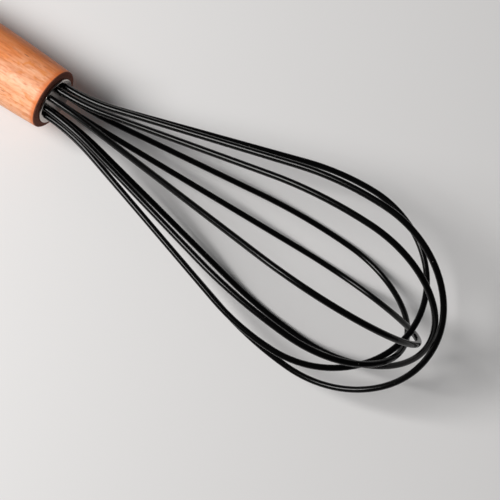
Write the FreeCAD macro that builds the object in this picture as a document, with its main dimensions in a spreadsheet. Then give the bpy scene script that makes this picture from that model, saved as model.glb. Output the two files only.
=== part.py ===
import FreeCAD, Part
import math
import os
import Sketcher

# Balloon whisk, in millimetres: a turned wooden handle, a steel cup let into its front end, and five
# closed loops of steel wire in silicone sleeves whose ten legs leave through the face of the cup.
#
# Every sub-part is drawn about the whisk's own axis: +X runs from the handle to the tip of the balloon
# and X = 0 is where the legs start to spread, just inside the cup's face. One shared placement then lays
# the whisk down, so that the far end of the handle and the two lowest legs touch Z = 0 and the origin is
# under the middle of its box.

Vector = FreeCAD.Vector
LOOPS = (1, 2, 3, 4, 5)
SIDES = (1, -1)

DIMENSIONS = {
    # How the whisk lies: where X = 0 of its own axis comes, and how far the tip is raised.
    "CapX": -29.18,
    "CapY": -4.40,
    "CapHeight": 23.486,
    "LieAngle": 5.75,
    # The wire and its silicone sleeve.
    "WireDiameter": 1.5,
    "SleeveDiameter": 2.5,
    "SleeveFit": 0.02,
    "WireDepth": 12.0,
    "SleeveDepth": 1.2,
    "LeanPivotDepth": 4.0,
    # The ring of ten evenly spaced holes that the legs leave the cup by.
    "ExitRadius": 7.5,
    "HolePitch": 36.0,
    "FirstHoleAngle": -4.8,
    # The outline that all five loops share.
    "FlareRadius": 82.0,
    "FlareAngle": 17.7,
    "ShoulderRatio": 1.074,
    "NoseRatio": 0.949,
    # The steel cup.
    "CupRadius": 10.15,
    "CupFront": 0.9,
    "CupBack": 14.6,
    "CupWall": 0.7,
    "CupFaceThickness": 1.0,
    "CupDomeHeight": 0.9,
    "CupEdgeRound": 0.5,
    "LegHoleClearance": 0.06,
    "DrillOvershoot": 1.0,
    # The block that holds the wire ends, and the resin behind it.
    "BlockRadius": 9.35,
    "BlockFront": 1.9,
    "BlockBack": 13.0,
    "ResinFit": 0.05,
    # The wooden handle.
    "HandleLength": 122.0,
    "HandleFront": 0.2,
    "HandleWidestRadius": 14.4,
    "HandleWidestAt": 50.0,
    "HandleArcRadius": 894.0,
    "FrontEdgeRound": 0.8,
    "EndRound": 8.0,
    "CupBoreFit": 0.05,
    "ResinBoreRadius": 8.0,
    "ResinBoreDepth": 22.0,
    "HangHoleRadius": 3.0,
    "HangHoleAt": 109.0,
    "HangHoleRound": 0.8,
}

# Each loop: reach of its tip from X = 0, half its width, the turn of its plane about the whisk's axis,
# how far it leans out of that plane and within it, as bent wire does, and the number of the hole that its
# first leg uses. The angles are in degrees.
LOOP_SIZES = {
    1: {"Length": 180.5, "HalfWidth": 41.2, "Clock": 40.98, "Lean": 2.23, "Sway": 0.24, "Hole": 1},
    2: {"Length": 178.4, "HalfWidth": 40.2, "Clock": 62.08, "Lean": 0.347, "Sway": -0.06, "Hole": 2},
    3: {"Length": 174.6, "HalfWidth": 41.9, "Clock": 289.78, "Lean": -0.05, "Sway": -2.003, "Hole": 8},
    4: {"Length": 171.8, "HalfWidth": 38.3, "Clock": 315.27, "Lean": -3.182, "Sway": 1.84, "Hole": 9},
    5: {"Length": 170.5, "HalfWidth": 39.7, "Clock": 351.71, "Lean": -1.6, "Sway": 2.16, "Hole": 10},
}

# Lies the whisk down: every sub-part shares this placement.
LYING = ("placement(vector(Sizes.CapX; Sizes.CapY; Sizes.CapHeight);"
         " rotation(vector(0; 1; 0); -Sizes.LieAngle))")


def make_sheet(doc):
    """The driving dimensions, one alias each."""
    sheet = doc.addObject("Spreadsheet::Sheet", "Sizes")
    values = dict(DIMENSIONS)
    for loop, sizes in LOOP_SIZES.items():
        for name, value in sizes.items():
            values[f"Loop{loop}{name}"] = value
    for row, (name, value) in enumerate(values.items(), start=1):
        sheet.set(f"A{row}", name)
        sheet.set(f"B{row}", str(value))
        sheet.setAlias(f"B{row}", name)
    doc.recompute()
    return sheet


def loop_placement(loop):
    """Turns a loop about the whisk's axis and leans it about a point inside the cup."""
    clock = f"placement(vector(0; 0; 0); rotation(vector(1; 0; 0); Sizes.Loop{loop}Clock))"
    lean = f"rotation(vector(0; 1; 0); -Sizes.Loop{loop}Lean)"
    sway = f"rotation(vector(0; 0; 1); Sizes.Loop{loop}Sway)"
    to_pivot = f"placement(vector(-Sizes.LeanPivotDepth; 0; 0); {lean})"
    from_pivot = "placement(vector(Sizes.LeanPivotDepth; 0; 0); rotation(vector(0; 0; 1); 0))"
    return f"{LYING} * {clock} * {to_pivot} * placement(vector(0; 0; 0); {sway}) * {from_pivot}"


def hole_turn(loop):
    """Angle from a loop's plane to the hole of its first leg."""
    hole = f"Sizes.FirstHoleAngle + Sizes.HolePitch * Sizes.Loop{loop}Hole"
    return f"({hole} - Sizes.Loop{loop}Clock)"


def hole_across(loop):
    """Distance from the loop's widest point in to the hole, measured in the loop's plane."""
    return f"(Sizes.Loop{loop}HalfWidth - Sizes.ExitRadius * cos({hole_turn(loop)}))"


def hole_aside(loop):
    """Distance of the hole from the loop's plane."""
    return f"(Sizes.ExitRadius * sin({hole_turn(loop)}))"


def widest_place(loop):
    """Where along the whisk the loop is widest: there its straight-sided leg meets its round crown."""
    width = f"Sizes.Loop{loop}HalfWidth"
    swing = "asin((Sizes.ShoulderRatio - 1) / (Sizes.ShoulderRatio - Sizes.NoseRatio))"
    crown = f"(Sizes.NoseRatio + (Sizes.ShoulderRatio - Sizes.NoseRatio) * cos({swing})) * {width}"
    return f"(Sizes.Loop{loop}Length - {crown})"


def new_body(doc, label):
    body = doc.addObject("PartDesign::Body", label)
    body.Label = label
    return body


def origin_item(body, role):
    return next(item for item in body.Origin.OriginFeatures if item.Role == role)


def new_sketch(body, name, plane):
    sketch = body.newObject("Sketcher::SketchObject", name)
    sketch.AttachmentSupport = (origin_item(body, plane), [""])
    sketch.MapMode = "FlatFace"
    return sketch


def constrain(sketch, kind, *where):
    return sketch.addConstraint(Sketcher.Constraint(kind, *where))


def dimension(sketch, name, expression, kind, *where):
    """Adds a named dimension and ties it to the sheet."""
    index = constrain(sketch, kind, *where)
    sketch.renameConstraint(index, name)
    sketch.setExpression(f"Constraints.{name}", expression)


def arc(centre_x, centre_y, radius, start, end):
    """A counter-clockwise arc. Angles in radians."""
    circle = Part.Circle(Vector(centre_x, centre_y, 0), Vector(0, 0, 1), radius)
    return Part.ArcOfCircle(circle, start, end)


def line(x_1, y_1, x_2, y_2):
    return Part.LineSegment(Vector(x_1, y_1, 0), Vector(x_2, y_2, 0))


def crown_sizes(sheet, loop):
    """Half width, shoulder and nose radii, the angle where they meet, and the place of the widest point."""
    width = sheet.get(f"Loop{loop}HalfWidth")
    shoulder = sheet.ShoulderRatio * width
    nose = sheet.NoseRatio * width
    nose_angle = math.asin((shoulder - width) / (shoulder - nose))
    widest_x = sheet.get(f"Loop{loop}Length") - nose - (shoulder - nose) * math.cos(nose_angle)
    return width, shoulder, nose, nose_angle, widest_x


def leg_path(body, sheet, loop, depth_name):
    """One leg, from inside the cup to the loop's widest point: straight root, flare, straight run and
    belly, each tangent to the next. Its plane is tilted about the widest point, so that the root lands on
    its own hole, and the belly ends parallel to the whisk's axis, where the crown takes over."""
    depth = sheet.get(depth_name)
    flare = sheet.FlareRadius
    angle = math.radians(sheet.FlareAngle)
    width, _, _, _, widest_x = crown_sizes(sheet, loop)
    hole = sheet.FirstHoleAngle + sheet.HolePitch * sheet.get(f"Loop{loop}Hole")
    turn = math.radians(hole - sheet.get(f"Loop{loop}Clock"))
    across = width - sheet.ExitRadius * math.cos(turn)
    aside = sheet.ExitRadius * math.sin(turn)
    root_y = width - math.hypot(across, aside)
    flare_x = flare * math.sin(angle)
    flare_y = root_y + flare * (1 - math.cos(angle))

    # The straight run and the belly together bridge the flare and the widest point.
    run = widest_x - flare_x
    rise = width - flare_y
    belly = (run * math.sin(angle) - rise * math.cos(angle)) / (1 - math.cos(angle))
    leg_end_x = widest_x - belly * math.sin(angle)
    leg_end_y = width - belly * (1 - math.cos(angle))

    sketch = new_sketch(body, f"leg_path_{body.Label}", "XY_Plane")
    half_width = f"Sizes.Loop{loop}HalfWidth"
    tilt = f"atan2(-{hole_aside(loop)}; {hole_across(loop)})"
    shift = f"vector(0; {half_width} * (1 - cos({tilt})); -{half_width} * sin({tilt}))"
    sketch.setExpression("AttachmentOffset", f"placement({shift}; rotation(vector(1; 0; 0); {tilt}))")
    quarter = math.pi / 2
    root, bend, leg, belly_arc = sketch.addGeometry([
        line(-depth, root_y, 0, root_y),
        arc(0, root_y + flare, flare, -quarter, angle - quarter),
        line(flare_x, flare_y, leg_end_x, leg_end_y),
        arc(widest_x, width - belly, belly, quarter, quarter + angle),
    ], False)
    start, end, centre = 1, 2, 3
    origin, y_axis = (-1, 1), -2
    root_reach = f"{half_width} - hypot({hole_across(loop)}; {hole_aside(loop)})"
    constrain(sketch, "Horizontal", root)
    constrain(sketch, "PointOnObject", root, end, y_axis)
    constrain(sketch, "Tangent", root, end, bend, start)
    constrain(sketch, "Tangent", bend, end, leg, start)
    constrain(sketch, "Tangent", leg, end, belly_arc, end)
    constrain(sketch, "Vertical", belly_arc, centre, belly_arc, start)
    dimension(sketch, "Depth", f"Sizes.{depth_name}", "DistanceX", root, start, *origin, depth)
    dimension(sketch, "Root", root_reach, "DistanceY", *origin, root, end, root_y)
    dimension(sketch, "FlareRadius", "Sizes.FlareRadius", "Radius", bend, flare)
    dimension(sketch, "FlareAngle", "Sizes.FlareAngle", "Angle", leg, angle)
    dimension(sketch, "HalfWidth", half_width, "DistanceY", *origin, belly_arc, start, width)
    dimension(sketch, "Widest", widest_place(loop), "DistanceX", *origin, belly_arc, start, widest_x)
    return sketch


def crown_path(body, sheet, loop):
    """Half of a loop's round end, from its widest point to its tip: shoulder, then nose."""
    width, shoulder, nose, nose_angle, widest_x = crown_sizes(sheet, loop)
    sketch = new_sketch(body, f"crown_path_{body.Label}", "XY_Plane")
    shoulder_arc, nose_arc = sketch.addGeometry([
        arc(widest_x, width - shoulder, shoulder, nose_angle, math.pi / 2),
        arc(sheet.get(f"Loop{loop}Length") - nose, 0, nose, 0, nose_angle),
    ], False)
    start, end, centre = 1, 2, 3
    origin, x_axis = (-1, 1), -1
    half_width = f"Sizes.Loop{loop}HalfWidth"
    length = f"Sizes.Loop{loop}Length"
    constrain(sketch, "Tangent", shoulder_arc, start, nose_arc, end)
    constrain(sketch, "Vertical", shoulder_arc, centre, shoulder_arc, end)
    constrain(sketch, "PointOnObject", nose_arc, centre, x_axis)
    constrain(sketch, "PointOnObject", nose_arc, start, x_axis)
    dimension(sketch, "HalfWidth", half_width, "DistanceY", *origin, shoulder_arc, end, width)
    dimension(sketch, "Reach", length, "DistanceX", *origin, nose_arc, start, sheet.get(f"Loop{loop}Length"))
    dimension(sketch, "Shoulder", f"Sizes.ShoulderRatio * {half_width}", "Radius", shoulder_arc, shoulder)
    dimension(sketch, "Nose", f"Sizes.NoseRatio * {half_width}", "Radius", nose_arc, nose)
    return sketch


def round_section(body, name, offset, place, place_value, radii):
    """A round section across the whisk's axis. Radii are (name, expression, value), outermost first."""
    sketch = new_sketch(body, f"{name}_{body.Label}", "YZ_Plane")
    sketch.setExpression("AttachmentOffset", offset)
    for label, expression, value in radii:
        centre = Vector(place_value, 0, 0)
        ring = sketch.addGeometry(Part.Circle(centre, Vector(0, 0, 1), value), False)
        constrain(sketch, "PointOnObject", ring, 3, -1)
        dimension(sketch, f"{label}Place", place, "DistanceX", -1, 1, ring, 3, place_value)
        dimension(sketch, f"{label}Radius", expression, "Radius", ring, value)
    return sketch


def swept(body, name, section, path):
    pipe = body.newObject("PartDesign::AdditivePipe", f"{name}_{body.Label}")
    pipe.Profile = section
    pipe.Spine = (path, [""])
    return pipe


def make_loop_body(doc, sheet, label, loop, depth_name, radii):
    """Sweeps one leg and half of the crown, and turns both half a turn about the axis for the other half."""
    body = new_body(doc, label)
    root = f"placement(vector(0; 0; -Sizes.{depth_name}); rotation(vector(0; 0; 1); {hole_turn(loop)}))"
    widest = f"placement(vector(0; 0; {widest_place(loop)}); rotation(vector(0; 0; 1); 0))"
    half_width = f"Sizes.Loop{loop}HalfWidth"
    width = sheet.get(f"Loop{loop}HalfWidth")
    leg_line = leg_path(body, sheet, loop, depth_name)
    crown_line = crown_path(body, sheet, loop)
    leg_end = round_section(body, "root_section", root, "Sizes.ExitRadius", sheet.ExitRadius, radii)
    crown_end = round_section(body, "widest_section", widest, half_width, width, radii)
    doc.recompute()
    leg = swept(body, "leg", leg_end, leg_line)
    doc.recompute()
    crown = swept(body, "crown", crown_end, crown_line)
    doc.recompute()
    whole = body.newObject("PartDesign::PolarPattern", f"whole_{label}")
    whole.Originals = [leg, crown]
    whole.Axis = (origin_item(body, "X_Axis"), [""])
    whole.Angle = 360
    whole.Occurrences = 2
    body.Tip = whole
    body.setExpression("Placement", loop_placement(loop))
    doc.recompute()

    # A sweep is as large as its section times the length of its path, or it has gone wrong.
    length = 2 * (leg_line.Shape.Length + crown_line.Shape.Length)
    outside, *bore = [value for _, _, value in radii]
    area = math.pi * (outside ** 2 - sum(value ** 2 for value in bore))
    if abs(body.Shape.Volume / (area * length) - 1) > 0.001:
        raise RuntimeError(f"{label}: volume {body.Shape.Volume:.1f} where {area * length:.1f} was due")
    return body


def make_wire(doc, sheet, loop):
    radii = [("Wire", "Sizes.WireDiameter / 2", sheet.WireDiameter / 2)]
    return make_loop_body(doc, sheet, f"wire_loop_{loop}", loop, "WireDepth", radii)


def make_sleeve(doc, sheet, loop):
    bore = sheet.WireDiameter / 2 + sheet.SleeveFit
    radii = [
        ("Outside", "Sizes.SleeveDiameter / 2", sheet.SleeveDiameter / 2),
        ("Bore", "Sizes.WireDiameter / 2 + Sizes.SleeveFit", bore),
    ]
    return make_loop_body(doc, sheet, f"silicone_sleeve_{loop}", loop, "SleeveDepth", radii)


def leg_drills(doc, name, radius, back, length):
    """Ten round cutters, one around the root of each leg, joined in one tool. They start inside the cup,
    the distance back behind X = 0. The sizes are expressions."""
    cutters = []
    for loop in LOOPS:
        for side in SIDES:
            cutter = doc.addObject("Part::Cylinder", f"{name}_loop_{loop}")
            cutter.setExpression("Radius", radius)
            cutter.setExpression("Height", length)
            turn = hole_turn(loop)
            across = f"{side} * Sizes.ExitRadius * cos({turn})"
            aside = f"{side} * Sizes.ExitRadius * sin({turn})"
            root = f"placement(vector(-({back}); {across}; {aside}); rotation(vector(0; 1; 0); 90))"
            cutter.setExpression("Placement", f"{loop_placement(loop)} * {root}")
            cutters.append(cutter)
    tool = doc.addObject("Part::MultiFuse", f"{name}_tool")
    tool.Shapes = cutters
    doc.recompute()
    return tool


def drilled(doc, label, blank, tool):
    cut = doc.addObject("Part::Cut", label)
    cut.Base = blank
    cut.Tool = tool
    cut.Label = label
    doc.recompute()
    return cut


def make_end_cup(doc, sheet):
    """Steel cup, open towards the handle, with a low dome for a face and a hole for each leg. Its outline
    is drawn from its rim, which stands a little out of the wood."""
    blank = new_body(doc, "end_cup_blank")
    radius = sheet.CupRadius
    inside = radius - sheet.CupWall
    length = sheet.CupFront + sheet.CupBack
    face = sheet.CupFaceThickness
    dome = sheet.CupDomeHeight
    edge = sheet.CupEdgeRound
    flat = radius - edge

    # The dome rises from the rounded edge to the axis; the inside of the face runs level with it.
    outer_sphere = (flat ** 2 + dome ** 2) / (2 * dome)
    inner_sphere = (inside ** 2 + dome ** 2) / (2 * dome)
    outer_swing = math.asin(flat / outer_sphere)
    inner_swing = math.asin(inside / inner_sphere)

    sketch = new_sketch(blank, "cup_outline", "XY_Plane")
    wall, rim, front, axis, back, bore, lip = sketch.addGeometry([
        line(-length, radius, -edge, radius),
        arc(-edge, flat, edge, 0, math.pi / 2),
        arc(dome - outer_sphere, 0, outer_sphere, 0, outer_swing),
        line(dome, 0, dome - face, 0),
        arc(dome - face - inner_sphere, 0, inner_sphere, 0, inner_swing),
        line(-face, inside, -length, inside),
        line(-length, inside, -length, radius),
    ], False)
    start, end, centre = 1, 2, 3
    origin, x_axis = (-1, 1), -1
    constrain(sketch, "Tangent", wall, end, rim, end)
    constrain(sketch, "Coincident", rim, start, front, end)
    constrain(sketch, "Coincident", front, start, axis, start)
    constrain(sketch, "Coincident", axis, end, back, start)
    constrain(sketch, "Coincident", back, end, bore, start)
    constrain(sketch, "Coincident", bore, end, lip, start)
    constrain(sketch, "Coincident", lip, end, wall, start)
    constrain(sketch, "Horizontal", wall)
    constrain(sketch, "Horizontal", bore)
    constrain(sketch, "Vertical", lip)
    constrain(sketch, "PointOnObject", axis, start, x_axis)
    constrain(sketch, "PointOnObject", axis, end, x_axis)
    constrain(sketch, "PointOnObject", front, centre, x_axis)
    constrain(sketch, "PointOnObject", back, centre, x_axis)
    constrain(sketch, "Horizontal", rim, centre, rim, start)
    constrain(sketch, "PointOnObject", rim, start, -2)
    dimension(sketch, "Length", "Sizes.CupFront + Sizes.CupBack", "DistanceX", wall, start, *origin, length)
    dimension(sketch, "Radius", "Sizes.CupRadius", "DistanceY", *origin, wall, start, radius)
    dimension(sketch, "Inside", "Sizes.CupRadius - Sizes.CupWall", "DistanceY", *origin, bore, end, inside)
    dimension(sketch, "EdgeRound", "Sizes.CupEdgeRound", "Radius", rim, edge)
    dimension(sketch, "Dome", "Sizes.CupDomeHeight", "DistanceX", *origin, axis, start, dome)
    dimension(sketch, "Face", "Sizes.CupFaceThickness", "DistanceX", axis, end, axis, start, face)
    dimension(sketch, "FaceEdge", "Sizes.CupFaceThickness", "DistanceX", bore, start, *origin, face)
    doc.recompute()
    turned = blank.newObject("PartDesign::Revolution", "cup_turned")
    turned.Profile = sketch
    turned.ReferenceAxis = (sketch, ["H_Axis"])
    turned.Angle = 360
    forward = " * placement(vector(Sizes.CupFront; 0; 0); rotation(vector(0; 0; 1); 0))"
    blank.setExpression("Placement", LYING + forward)
    doc.recompute()

    hole_radius = "Sizes.SleeveDiameter / 2 + Sizes.LegHoleClearance"
    behind = "Sizes.CupFaceThickness + Sizes.DrillOvershoot"
    through = f"{behind} + Sizes.CupFront + Sizes.CupDomeHeight + Sizes.DrillOvershoot"
    return drilled(doc, "end_cup", blank, leg_drills(doc, "cup_hole", hole_radius, behind, through))


def make_anchor_block(doc, sheet):
    """Solid block inside the cup, bored for the ten bare wire ends."""
    blank = doc.addObject("Part::Cylinder", "anchor_blank")
    blank.setExpression("Radius", "Sizes.BlockRadius")
    blank.setExpression("Height", "Sizes.BlockBack - Sizes.BlockFront")
    along_axis = " * placement(vector(-Sizes.BlockBack; 0; 0); rotation(vector(0; 1; 0); 90))"
    blank.setExpression("Placement", LYING + along_axis)
    bore_radius = "Sizes.WireDiameter / 2 + Sizes.SleeveFit"
    behind = "Sizes.BlockBack + Sizes.DrillOvershoot"
    return drilled(doc, "anchor_block", blank, leg_drills(doc, "anchor_bore", bore_radius, behind, behind))


def make_resin_seal(doc, sheet):
    """Cast resin behind the block: it fills the narrow bore and the mouth of the cup."""
    body = new_body(doc, "resin_seal")
    front = sheet.BlockBack + sheet.ResinFit
    step = sheet.CupBack + sheet.ResinFit
    back = sheet.ResinBoreDepth - sheet.ResinFit
    wide = sheet.BlockRadius
    narrow = sheet.ResinBoreRadius - sheet.ResinFit
    sketch = new_sketch(body, "resin_outline", "XY_Plane")
    axis, rear, low, ledge, high, face = sketch.addGeometry([
        line(-front, 0, -back, 0),
        line(-back, 0, -back, narrow),
        line(-back, narrow, -step, narrow),
        line(-step, narrow, -step, wide),
        line(-step, wide, -front, wide),
        line(-front, wide, -front, 0),
    ], False)
    sides = [axis, rear, low, ledge, high, face]
    for side, following in zip(sides, sides[1:] + sides[:1]):
        constrain(sketch, "Coincident", side, 2, following, 1)
    for side in (axis, low, high):
        constrain(sketch, "Horizontal", side)
    for side in (rear, ledge, face):
        constrain(sketch, "Vertical", side)
    origin = (-1, 1)
    constrain(sketch, "PointOnObject", axis, 1, -1)
    dimension(sketch, "Front", "Sizes.BlockBack + Sizes.ResinFit", "DistanceX", axis, 1, *origin, front)
    dimension(sketch, "Back", "Sizes.ResinBoreDepth - Sizes.ResinFit", "DistanceX", axis, 2, *origin, back)
    dimension(sketch, "Step", "Sizes.CupBack + Sizes.ResinFit", "DistanceX", ledge, 1, *origin, step)
    dimension(sketch, "Wide", "Sizes.BlockRadius", "DistanceY", *origin, high, 1, wide)
    dimension(sketch, "Narrow", "Sizes.ResinBoreRadius - Sizes.ResinFit", "DistanceY",
              *origin, low, 1, narrow)
    doc.recompute()
    cast = body.newObject("PartDesign::Revolution", "resin_cast")
    cast.Profile = sketch
    cast.ReferenceAxis = (sketch, ["H_Axis"])
    cast.Angle = 360
    body.setExpression("Placement", LYING)
    doc.recompute()
    return body


def make_handle(doc, sheet):
    """Turned barrel of beech: one long arc for its side, a domed far end, a stepped bore for the cup and
    the resin, and a hanging hole across the far end."""
    body = new_body(doc, "wooden_handle")
    front = sheet.HandleFront
    length = sheet.HandleLength
    barrel = sheet.HandleArcRadius
    middle_x = -sheet.HandleWidestAt
    middle_y = sheet.HandleWidestRadius - barrel
    edge = sheet.FrontEdgeRound
    dome = sheet.EndRound
    cup_bore = sheet.CupRadius + sheet.CupBoreFit
    cup_depth = sheet.CupBack + sheet.ResinFit
    resin_bore = sheet.ResinBoreRadius
    resin_depth = sheet.ResinBoreDepth

    def corner(centre_x, radius):
        """Height and turn of a small corner arc inside the barrel arc, its centre at centre_x."""
        reach = barrel - radius
        run = centre_x - middle_x
        return middle_y + math.sqrt(reach ** 2 - run ** 2), math.acos(run / reach)

    edge_x = -front - edge
    dome_x = -length + dome
    edge_y, edge_turn = corner(edge_x, edge)
    dome_y, dome_turn = corner(dome_x, dome)

    sketch = new_sketch(body, "handle_outline", "XY_Plane")
    names = ("face", "front_edge", "side", "far_edge", "far_face", "axis", "resin_floor", "resin_wall",
             "cup_floor", "cup_wall")
    geometry = [
        line(-front, cup_bore, -front, edge_y),
        arc(edge_x, edge_y, edge, 0, edge_turn),
        arc(middle_x, middle_y, barrel, edge_turn, dome_turn),
        arc(dome_x, dome_y, dome, dome_turn, math.pi),
        line(-length, dome_y, -length, 0),
        line(-length, 0, -resin_depth, 0),
        line(-resin_depth, 0, -resin_depth, resin_bore),
        line(-resin_depth, resin_bore, -cup_depth, resin_bore),
        line(-cup_depth, resin_bore, -cup_depth, cup_bore),
        line(-cup_depth, cup_bore, -front, cup_bore),
    ]
    side = dict(zip(names, sketch.addGeometry(geometry, False)))
    start, end, centre = 1, 2, 3
    origin, x_axis = (-1, 1), -1
    for first, second in zip(names[:4], names[1:5]):
        constrain(sketch, "Tangent", side[first], end, side[second], start)
    for first, second in zip(names[4:], names[5:] + names[:1]):
        constrain(sketch, "Coincident", side[first], end, side[second], start)
    for name in ("face", "far_face", "resin_floor", "cup_floor"):
        constrain(sketch, "Vertical", side[name])
    for name in ("resin_wall", "cup_wall"):
        constrain(sketch, "Horizontal", side[name])
    constrain(sketch, "PointOnObject", side["axis"], start, x_axis)
    constrain(sketch, "PointOnObject", side["axis"], end, x_axis)
    dimension(sketch, "Front", "Sizes.HandleFront", "DistanceX", side["face"], start, *origin, front)
    dimension(sketch, "Length", "Sizes.HandleLength", "DistanceX", side["axis"], start, *origin, length)
    dimension(sketch, "Barrel", "Sizes.HandleArcRadius", "Radius", side["side"], barrel)
    dimension(sketch, "WidestAt", "Sizes.HandleWidestAt", "DistanceX",
              side["side"], centre, *origin, -middle_x)
    dimension(sketch, "Below", "Sizes.HandleArcRadius - Sizes.HandleWidestRadius", "DistanceY",
              side["side"], centre, *origin, -middle_y)
    dimension(sketch, "FrontEdge", "Sizes.FrontEdgeRound", "Radius", side["front_edge"], edge)
    dimension(sketch, "FarEdge", "Sizes.EndRound", "Radius", side["far_edge"], dome)
    dimension(sketch, "CupBore", "Sizes.CupRadius + Sizes.CupBoreFit", "DistanceY",
              *origin, side["cup_wall"], start, cup_bore)
    dimension(sketch, "CupDepth", "Sizes.CupBack + Sizes.ResinFit", "DistanceX",
              side["cup_wall"], start, *origin, cup_depth)
    dimension(sketch, "ResinBore", "Sizes.ResinBoreRadius", "DistanceY",
              *origin, side["resin_wall"], start, resin_bore)
    dimension(sketch, "ResinDepth", "Sizes.ResinBoreDepth", "DistanceX",
              side["resin_wall"], start, *origin, resin_depth)
    doc.recompute()
    turned = body.newObject("PartDesign::Revolution", "handle_turned")
    turned.Profile = sketch
    turned.ReferenceAxis = (sketch, ["H_Axis"])
    turned.Angle = 360
    doc.recompute()

    hole = new_sketch(body, "hang_hole_outline", "XZ_Plane")
    hole_centre = Vector(-sheet.HangHoleAt, 0, 0)
    ring = hole.addGeometry(Part.Circle(hole_centre, Vector(0, 0, 1), sheet.HangHoleRadius), False)
    constrain(hole, "PointOnObject", ring, centre, x_axis)
    dimension(hole, "Place", "Sizes.HangHoleAt", "DistanceX", ring, centre, *origin, sheet.HangHoleAt)
    dimension(hole, "Radius", "Sizes.HangHoleRadius", "Radius", ring, sheet.HangHoleRadius)
    doc.recompute()
    drilled_hole = body.newObject("PartDesign::Pocket", "hang_hole")
    drilled_hole.Profile = hole
    drilled_hole.Type = "ThroughAll"
    drilled_hole.Midplane = True
    doc.recompute()

    eased = body.newObject("PartDesign::Fillet", "hang_hole_eased")
    eased.Base = (drilled_hole, hole_rims(drilled_hole.Shape, sheet))
    eased.setExpression("Radius", "Sizes.HangHoleRound")
    body.setExpression("Placement", LYING)
    doc.recompute()
    return body


def hole_rims(shape, sheet):
    """Names of the edges where the hanging hole breaks the surface of the handle."""
    names = []
    for number, edge in enumerate(shape.Edges, start=1):
        box = edge.BoundBox
        around_hole = abs(box.Center.x + sheet.HangHoleAt) < 0.5
        hole_wide = abs(box.XLength - 2 * sheet.HangHoleRadius) < 0.5
        if around_hole and hole_wide:
            names.append(f"Edge{number}")
    return names


def check(doc, parts):
    """Stops on any failed object, or on a sub-part that is not one valid solid."""
    for item in doc.Objects:
        if "Invalid" in item.State or "Error" in item.State:
            raise RuntimeError(f"{item.Label}: {item.State}")
    for part in parts:
        shape = part.Shape
        if shape.isNull() or not shape.isValid() or len(shape.Solids) != 1:
            raise RuntimeError(f"{part.Label}: bad shape")


def main():
    doc = FreeCAD.newDocument("balloon_whisk")
    sheet = make_sheet(doc)
    parts = [
        make_handle(doc, sheet),
        make_end_cup(doc, sheet),
        make_anchor_block(doc, sheet),
        make_resin_seal(doc, sheet),
    ]
    for loop in LOOPS:
        parts.append(make_wire(doc, sheet, loop))
        parts.append(make_sleeve(doc, sheet, loop))
    doc.recompute()
    check(doc, parts)
    os.makedirs("parts", exist_ok=True)
    for part in parts:
        part.Shape.exportStep(f"parts/{part.Label}.step")
        box = part.Shape.optimalBoundingBox(True)
        print(f"{part.Label}: {part.Shape.Volume:.1f} mm3, X {box.XMin:.2f} to {box.XMax:.2f},"
              f" Y {box.YMin:.2f} to {box.YMax:.2f}, Z {box.ZMin:.2f} to {box.ZMax:.2f}")


main()
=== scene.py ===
"""Balloon whisk lying on a pale table: materials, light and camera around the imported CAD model.

Everything is in metres, in the CAD model's frame. The whisk lies along +X with its tip raised, and the
far end of the handle and the two lowest legs touch the table at Z = 0.
"""

import math

import bpy
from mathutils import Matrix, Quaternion, Vector

# The whisk's own axis, as the CAD model has it: X = 0 is just inside the face of the cup.
AXIS_START = (-0.02918, -0.0044, 0.023486)
LIE_ANGLE = math.radians(5.75)
AXIS = (math.cos(LIE_ANGLE), 0, math.sin(LIE_ANGLE))

# Along that axis, where the front face of the wood is, and the greatest radius of the handle.
WOOD_FRONT = -0.0002
HANDLE_RADIUS = 0.0144

LOOPS = (1, 2, 3, 4, 5)

# The window, and the room's light: as it falls on things, and as glossy things reflect it.
WINDOW_POSITION = (-0.740, -0.464, 0.985)
WINDOW_AIM = (0.0, 0.0, 0.02)
WINDOW_SIZE = 0.60
WINDOW_POWER = 22.4
WINDOW_COLOUR = (1.0, 0.985, 0.97)
ROOM_COLOUR = (0.97, 0.985, 1.0, 1)
ROOM_LIGHT = 0.12
ROOM_REFLECTION = 0.035

TABLE_HALF_WIDTH = 1.6
TABLE_TONE = (0.72, 0.715, 0.715, 1)

CAMERA_AIM = (0.0700, -0.00504, 0.0)
CAMERA_DISTANCE = 0.426
CAMERA_AZIMUTH = math.radians(11.2)
CAMERA_ELEVATION = math.radians(79.1)
CAMERA_ROLL = math.radians(23.58)
LENS_MM = 72
SENSOR_MM = 36


# ---------------------------------------------------------------- node helpers

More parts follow.
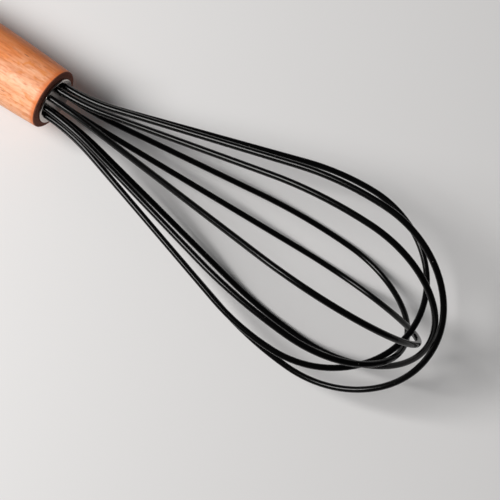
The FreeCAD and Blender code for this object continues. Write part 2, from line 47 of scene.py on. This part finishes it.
class Material:
    """A node material with one Principled shader."""

    # Sockets of a Mix node for colours, by number, because its other sockets have the same names.
    MIX_FACTOR = 0
    MIX_FIRST = 6
    MIX_SECOND = 7
    MIX_RESULT = 2

    def __init__(self, name):
        self.material = bpy.data.materials.new(name)
        self.material.use_nodes = True
        self.tree = self.material.node_tree
        self.tree.nodes.clear()
        output = self.node("OutputMaterial")
        self.shader = self.node("BsdfPrincipled")
        self.tree.links.new(self.shader.outputs[0], output.inputs["Surface"])

    def node(self, kind, inputs=None, **settings):
        """Adds a node. An input given as a socket is linked, and anything else is its value."""
        made = self.tree.nodes.new(f"ShaderNode{kind}")
        for name, value in settings.items():
            setattr(made, name, value)
        for name, value in (inputs or {}).items():
            self.put(made.inputs[name], value)
        return made

    def put(self, socket, value):
        """Links a socket to another one, or gives it a value."""
        if isinstance(value, bpy.types.NodeSocket):
            self.tree.links.new(value, socket)
        else:
            socket.default_value = value

    def shade(self, **inputs):
        """Sets the shader's inputs, with underscores for the spaces in their names."""
        for name, value in inputs.items():
            self.put(self.shader.inputs[name.replace("_", " ")], value)

    def object_space(self):
        """Coordinates of the CAD model's frame."""
        return self.node("TexCoord").outputs["Object"]

    def whisk_space(self):
        """Coordinates along and across the whisk's own axis."""
        inputs = {"Vector": self.object_space(), "Location": AXIS_START, "Rotation": (0, -LIE_ANGLE, 0)}
        return self.node("Mapping", inputs, vector_type="TEXTURE").outputs[0]

    def stretched(self, space, along, shift=(0, 0, 0)):
        """Coordinates scaled along X, so that a pattern is drawn out along X where the scale is small."""
        inputs = {"Vector": space, "Scale": (along, 1, 1), "Location": shift}
        return self.node("Mapping", inputs).outputs[0]

    def noise(self, space, scale, detail, roughness, distortion=0.0):
        inputs = {"Vector": space, "Scale": scale, "Detail": detail, "Roughness": roughness,
                  "Distortion": distortion}
        return self.node("TexNoise", inputs).outputs[0]

    def remap(self, value, low, high, to_low=0.0, to_high=1.0):
        """Smooth step from to_low to to_high as value goes from low to high."""
        inputs = {"Value": value, "From Min": low, "From Max": high, "To Min": to_low, "To Max": to_high}
        return self.node("MapRange", inputs, interpolation_type="SMOOTHSTEP").outputs[0]

    def math(self, operation, first, second=0.0):
        made = self.node("Math", operation=operation)
        self.put(made.inputs[0], first)
        self.put(made.inputs[1], second)
        return made.outputs[0]

    def product(self, first, second):
        return self.math("MULTIPLY", first, second)

    def mix(self, factor, first, second):
        """Goes from the first colour to the second as factor goes from 0 to 1."""
        made = self.node("Mix", data_type="RGBA")
        self.put(made.inputs[self.MIX_FACTOR], factor)
        self.put(made.inputs[self.MIX_FIRST], first)
        self.put(made.inputs[self.MIX_SECOND], second)
        return made.outputs[self.MIX_RESULT]

    def bump(self, height, strength, distance):
        inputs = {"Height": height, "Strength": strength, "Distance": distance}
        return self.node("Bump", inputs).outputs[0]

    def sparse_spots(self, space, scale, radius, share):
        """Small soft spots, one in some of the cells of a random grid: 1 at their middle."""
        cells = self.node("TexVoronoi", {"Vector": space, "Scale": scale})
        soft_core = 0.4
        spot = self.remap(cells.outputs["Distance"], radius, radius * soft_core)
        chance = self.node("SeparateColor", {"Color": cells.outputs["Color"]}).outputs[0]
        return self.product(spot, self.math("LESS_THAN", chance, share))


# ---------------------------------------------------------------- wood

# Across the handle the wood is paler towards the window and deeper orange away from it: partly its own
# figure, partly painted light and shade. The palest colour is painted light, and the dry blotches are
# partly painted sheen.
WOOD_COLOURS = {
    "pale lit side": (0.86, 0.38, 0.195, 1),
    "painted lit side": (0.96, 0.475, 0.265, 1),
    "deep shaded side": (0.79, 0.215, 0.042, 1),
    "oily blotch": (0.79, 0.26, 0.062, 1),
    "pale blotch and sheen": (0.95, 0.53, 0.325, 1),
    "growth line": (0.47, 0.145, 0.038, 1),
    "streak": (0.56, 0.15, 0.04, 1),
    "fibre": (0.50, 0.145, 0.045, 1),
    "faint fleck": (0.50, 0.13, 0.055, 1),
    "dark fleck": (0.24, 0.065, 0.03, 1),
    "end grain pore": (0.20, 0.065, 0.024, 1),
    "end grain": (0.48, 0.20, 0.08, 1),
    "orange edge tinge": (0.68, 0.145, 0.022, 1),
    "dark brown face": (0.14, 0.036, 0.019, 1),
    "lighter brown face": (0.28, 0.098, 0.062, 1),
}


def deep_and_shaded_side(wood, space, across):
    """Rises across the handle from the paler half towards the window to the deeper half away from it, and
    wavers along it: partly the wood's own figure, partly painted light and shade.
    """
    side = wood.math("DIVIDE", across, HANDLE_RADIUS)
    waver = wood.noise(wood.stretched(space, 0.22), scale=130, detail=3, roughness=0.55)
    return wood.math("ADD", side, wood.remap(waver, 0.3, 0.7, -0.55, 0.55))


def side_colours_and_light(wood, depth):
    """The two sides across the handle: pale towards the window, with a palest edge of painted light, and
    deep orange away from it; partly the wood's own figure, partly painted light and shade.
    """
    pale = wood.mix(
        wood.remap(depth, 0.1, -0.9), WOOD_COLOURS["pale lit side"], WOOD_COLOURS["painted lit side"]
    )
    return wood.mix(wood.remap(depth, -0.15, 0.80), pale, WOOD_COLOURS["deep shaded side"])


def add_blotches(wood, space, depth, colour):
    """Blotches, where the grain wavers and takes up more oil or less; the pale ones, weighted towards the
    window side, are partly painted sheen.
    """
    blotch = wood.noise(wood.stretched(space, 0.5), scale=360, detail=3, roughness=0.6, distortion=0.7)
    oily = wood.remap(blotch, 0.52, 0.66, 0.0, 0.75)
    # Pale blotches, more of them towards the window: partly the grain, partly painted sheen.
    dry_and_sheen = wood.product(wood.remap(blotch, 0.47, 0.32), wood.remap(depth, 0.5, -0.3, 0.1, 0.6))
    colour = wood.mix(oily, colour, WOOD_COLOURS["oily blotch"])
    return wood.mix(dry_and_sheen, colour, WOOD_COLOURS["pale blotch and sheen"])


def add_growth_lines(wood, space, depth, colour):
    """Long growth lines, strongest on the deeper side, about a centre outside the handle."""
    beside_heart = wood.stretched(space, 0.13, shift=(0, 0.021, 0.013))
    rings = wood.node("TexWave", {
        "Vector": beside_heart, "Scale": 46.0, "Distortion": 3.6,
        "Detail": 3.0, "Detail Scale": 1.3, "Detail Roughness": 0.6,
    }, wave_type="RINGS", rings_direction="X", wave_profile="SAW")
    line = wood.remap(rings.outputs["Fac"], 0.50, 1.0)
    strength = wood.remap(depth, -0.3, 0.7, 0.22, 0.60)
    return wood.mix(wood.product(line, strength), colour, WOOD_COLOURS["growth line"])


def add_fibres(wood, space, fibres, colour):
    """Long thin streaks, and shorter and finer fibres."""
    streaks = wood.noise(wood.stretched(space, 0.07), scale=620, detail=3, roughness=0.6)
    colour = wood.mix(wood.remap(streaks, 0.50, 0.68, 0.0, 0.40), colour, WOOD_COLOURS["streak"])
    return wood.mix(wood.remap(fibres, 0.45, 0.70, 0.0, 0.55), colour, WOOD_COLOURS["fibre"])


def add_flecks(wood, space, dark_flecks, colour):
    """Short flecks: many faint ones and a few dark ones."""
    faint_flecks = wood.sparse_spots(wood.stretched(space, 0.24), scale=900, radius=0.30, share=0.55)
    colour = wood.mix(wood.product(faint_flecks, 0.45), colour, WOOD_COLOURS["faint fleck"])
    return wood.mix(wood.product(dark_flecks, 0.7), colour, WOOD_COLOURS["dark fleck"])


def add_end_grain(wood, pores, colour):
    """End grain drinks more oil, so it is darker where the surface faces along the handle."""
    normal = wood.node("TexCoord").outputs["Normal"]
    facing = wood.node("VectorMath", {0: normal, 1: AXIS}, operation="DOT_PRODUCT").outputs["Value"]
    end = wood.remap(wood.math("ABSOLUTE", facing), 0.55, 0.95)
    porous = wood.mix(
        wood.remap(pores, 0.35, 0.65), WOOD_COLOURS["end grain pore"], WOOD_COLOURS["end grain"]
    )
    return wood.mix(wood.product(end, 0.7), colour, porous)


def add_dark_front_face(wood, pores, along, front, colour):
    """Makes the front face dark brown, and gives the wood just behind its edge an orange tinge."""
    tinge = wood.remap(along, WOOD_FRONT - 0.0030, WOOD_FRONT - 0.0009)
    colour = wood.mix(wood.product(tinge, 0.75), colour, WOOD_COLOURS["orange edge tinge"])
    face_colour = wood.mix(wood.remap(pores, 0.3, 0.7), WOOD_COLOURS["dark brown face"], WOOD_COLOURS["lighter brown face"])
    return wood.mix(front, colour, face_colour)


def beech_wood():
    """Oiled beech, pale pinkish on the side towards the window and deep orange on the side away from it
    (partly its own figure, partly painted light, sheen and shade), with a dark brown front face round the
    cup.
    """
    wood = Material("beech_wood")
    space = wood.whisk_space()
    place = wood.node("SeparateXYZ", {"Vector": space})
    along = place.outputs["X"]

    # depth rises from the window side to the far side, so the colours that follow it carry partly painted
    # light and shade.
    depth = deep_and_shaded_side(wood, space, place.outputs["Y"])
    fibres = wood.noise(wood.stretched(space, 0.16), scale=1300, detail=4, roughness=0.65)
    dark_flecks = wood.sparse_spots(
        wood.stretched(space, 0.20, shift=(0.3, 0.1, 0.2)), scale=620, radius=0.22, share=0.30
    )
    pores = wood.noise(space, scale=2600, detail=3, roughness=0.65)
    front = wood.remap(along, WOOD_FRONT - 0.00075, WOOD_FRONT - 0.00035)

    colour = side_colours_and_light(wood, depth)
    colour = add_blotches(wood, space, depth, colour)
    colour = add_growth_lines(wood, space, depth, colour)
    colour = add_fibres(wood, space, fibres, colour)
    colour = add_flecks(wood, space, dark_flecks, colour)
    colour = add_end_grain(wood, pores, colour)
    colour = add_dark_front_face(wood, pores, along, front, colour)

    satin = wood.remap(fibres, 0.2, 0.8, 0.44, 0.58)
    matte_front = wood.product(front, 0.85)
    relief = wood.math("SUBTRACT", wood.product(fibres, 0.35), dark_flecks)
    wood.shade(
        Base_Color=colour,
        Roughness=wood.math("MAXIMUM", satin, matte_front),
        Specular_IOR_Level=0.35,
        Normal=wood.bump(relief, strength=0.35, distance=0.00012),
    )
    return wood.material


# ---------------------------------------------------------------- silicone, metal, plastic and resin

def black_silicone():
    """Moulded silicone: near black, with a soft gloss, a faint skin texture and a little dust."""
    black = (0.0009, 0.0009, 0.0010, 1)
    soft_black = (0.0020, 0.0019, 0.0020, 1)
    dust_grey = (0.16, 0.15, 0.145, 1)
    silicone = Material("black_silicone")
    space = silicone.object_space()
    skin = silicone.noise(space, scale=2400, detail=3, roughness=0.6)
    waver = silicone.noise(space, scale=260, detail=2, roughness=0.5)
    dust = silicone.sparse_spots(space, scale=520, radius=0.10, share=0.20)
    relief = silicone.math("ADD", silicone.product(skin, 0.5), waver)
    silicone.shade(
        Base_Color=silicone.mix(dust, silicone.mix(waver, black, soft_black), dust_grey),
        Roughness=silicone.remap(skin, 0.25, 0.75, 0.16, 0.24),
        Specular_IOR_Level=0.18,
        Normal=silicone.bump(relief, strength=0.10, distance=0.00010),
    )
    return silicone.material


def polished_steel():
    """Polished steel with fine turning marks about the whisk's axis and faint smudges."""
    tone = (0.50, 0.46, 0.435, 1)
    smudge_tone = tuple(0.86 * part for part in tone[:3]) + (1,)
    steel = Material("polished_steel")
    space = steel.whisk_space()
    marks = steel.node("TexWave", {
        "Vector": space, "Scale": 900.0, "Distortion": 0.6, "Detail": 2.0, "Detail Scale": 3.0,
    }, wave_type="RINGS", rings_direction="X").outputs["Fac"]
    smudges = steel.noise(space, scale=320, detail=3, roughness=0.6)
    steel.shade(
        Base_Color=steel.mix(smudges, tone, smudge_tone),
        Metallic=1.0,
        Roughness=steel.remap(smudges, 0.35, 0.7, 0.09, 0.18),
        Normal=steel.bump(marks, strength=0.08, distance=0.00005),
    )
    return steel.material


def drawn_wire():
    """Drawn steel wire with faint lengthwise lines."""
    dull = (0.50, 0.50, 0.51, 1)
    bright = (0.66, 0.66, 0.66, 1)
    wire = Material("drawn_wire")
    lines = wire.noise(wire.stretched(wire.object_space(), 0.05), scale=4200, detail=3, roughness=0.6)
    wire.shade(
        Base_Color=wire.mix(lines, dull, bright),
        Metallic=1.0,
        Roughness=wire.remap(lines, 0.3, 0.7, 0.26, 0.42),
        Normal=wire.bump(lines, strength=0.12, distance=0.00004),
    )
    return wire.material


def moulded_plastic():
    """Matte grey plastic with the fine grain of its mould."""
    dark_grey = (0.11, 0.11, 0.115, 1)
    grey = (0.15, 0.15, 0.15, 1)
    plastic = Material("moulded_plastic")
    grain = plastic.noise(plastic.object_space(), scale=3800, detail=2, roughness=0.6)
    plastic.shade(
        Base_Color=plastic.mix(grain, dark_grey, grey),
        Roughness=plastic.remap(grain, 0.3, 0.7, 0.52, 0.66),
        Normal=plastic.bump(grain, strength=0.25, distance=0.00006),
    )
    return plastic.material


def cast_resin():
    """Amber casting resin with cloudy streaks and small bubbles."""
    amber = (0.33, 0.19, 0.07, 1)
    cloudy_amber = (0.55, 0.36, 0.17, 1)
    bubble_tone = (0.72, 0.60, 0.42, 1)
    resin = Material("cast_resin")
    space = resin.object_space()
    clouds = resin.noise(space, scale=240, detail=3, roughness=0.55)
    bubbles = resin.sparse_spots(space, scale=900, radius=0.30, share=0.3)
    resin.shade(
        Base_Color=resin.mix(bubbles, resin.mix(clouds, amber, cloudy_amber), bubble_tone),
        Roughness=resin.remap(clouds, 0.3, 0.7, 0.16, 0.28),
        Specular_IOR_Level=0.55,
        Normal=resin.bump(bubbles, strength=0.3, distance=0.00008),
    )
    return resin.material


def finish_node(node, material):
    """Gives a CAD node its material."""
    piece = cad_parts[node]
    piece.data.materials.clear()
    piece.data.materials.append(material)


# ---------------------------------------------------------------- table, light and camera

def make_table():
    """A plain pale table top."""
    half = TABLE_HALF_WIDTH
    mesh = bpy.data.meshes.new("table")
    corners = [(-half, -half, 0), (half, -half, 0), (half, half, 0), (-half, half, 0)]
    mesh.from_pydata(corners, [], [(0, 1, 2, 3)])
    table = bpy.data.objects.new("table", mesh)
    bpy.context.scene.collection.objects.link(table)
    pale = Material("pale_table")
    pale.shade(Base_Color=TABLE_TONE, Roughness=0.5, Specular_IOR_Level=0.35)
    mesh.materials.append(pale.material)


def make_window():
    """A soft window light from behind the handle, high on the -Y side."""
    light = bpy.data.lights.new("window", "AREA")
    light.shape = "SQUARE"
    light.size = WINDOW_SIZE
    light.energy = WINDOW_POWER
    light.color = WINDOW_COLOUR
    lamp = bpy.data.objects.new("window", light)
    lamp.location = WINDOW_POSITION
    lamp.rotation_mode = "QUATERNION"
    lamp.rotation_quaternion = (Vector(WINDOW_AIM) - Vector(WINDOW_POSITION)).to_track_quat("-Z", "Y")
    bpy.context.scene.collection.objects.link(lamp)


def make_room():
    """An even surround, darker in glossy reflections than in the soft light that it gives."""
    world = bpy.data.worlds.new("surround")
    world.use_nodes = True
    nodes = world.node_tree.nodes
    links = world.node_tree.links
    background = nodes["Background"]
    background.inputs["Color"].default_value = ROOM_COLOUR
    strength = nodes.new("ShaderNodeMapRange")
    strength.inputs["To Min"].default_value = ROOM_LIGHT
    strength.inputs["To Max"].default_value = ROOM_REFLECTION
    glossy = nodes.new("ShaderNodeLightPath").outputs["Is Glossy Ray"]
    links.new(glossy, strength.inputs["Value"])
    links.new(strength.outputs[0], background.inputs["Strength"])
    bpy.context.scene.world = world


def make_camera():
    """Looks steeply down at the balloon, with the handle leaving the upper left of the frame."""
    back = Vector((
        math.sin(CAMERA_AZIMUTH) * math.cos(CAMERA_ELEVATION),
        -math.cos(CAMERA_AZIMUTH) * math.cos(CAMERA_ELEVATION),
        math.sin(CAMERA_ELEVATION),
    ))
    roll = Quaternion((0, 0, 1), CAMERA_ROLL)
    data = bpy.data.cameras.new("camera")
    data.lens = LENS_MM
    data.sensor_width = SENSOR_MM
    camera = bpy.data.objects.new("camera", data)
    camera.location = Vector(CAMERA_AIM) + CAMERA_DISTANCE * back
    camera.rotation_mode = "QUATERNION"
    camera.rotation_quaternion = (-back).to_track_quat("-Z", "Y") @ roll
    bpy.context.scene.collection.objects.link(camera)
    bpy.context.scene.camera = camera


# ---------------------------------------------------------------- the scene

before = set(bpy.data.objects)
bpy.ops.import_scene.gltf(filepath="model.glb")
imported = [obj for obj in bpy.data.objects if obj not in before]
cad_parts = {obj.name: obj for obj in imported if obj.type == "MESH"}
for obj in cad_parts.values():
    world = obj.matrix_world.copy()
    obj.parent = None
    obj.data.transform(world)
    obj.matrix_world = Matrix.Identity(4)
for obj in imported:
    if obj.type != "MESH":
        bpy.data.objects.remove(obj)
bpy.context.view_layer.update()

finish_node("wooden_handle", beech_wood())
finish_node("end_cup", polished_steel())
finish_node("anchor_block", moulded_plastic())
finish_node("resin_seal", cast_resin())
silicone = black_silicone()
wire = drawn_wire()
for loop in LOOPS:
    finish_node(f"silicone_sleeve_{loop}", silicone)
    finish_node(f"wire_loop_{loop}", wire)

make_table()
make_window()
make_room()
make_camera()
bpy.context.scene.view_settings.view_transform = "Standard"
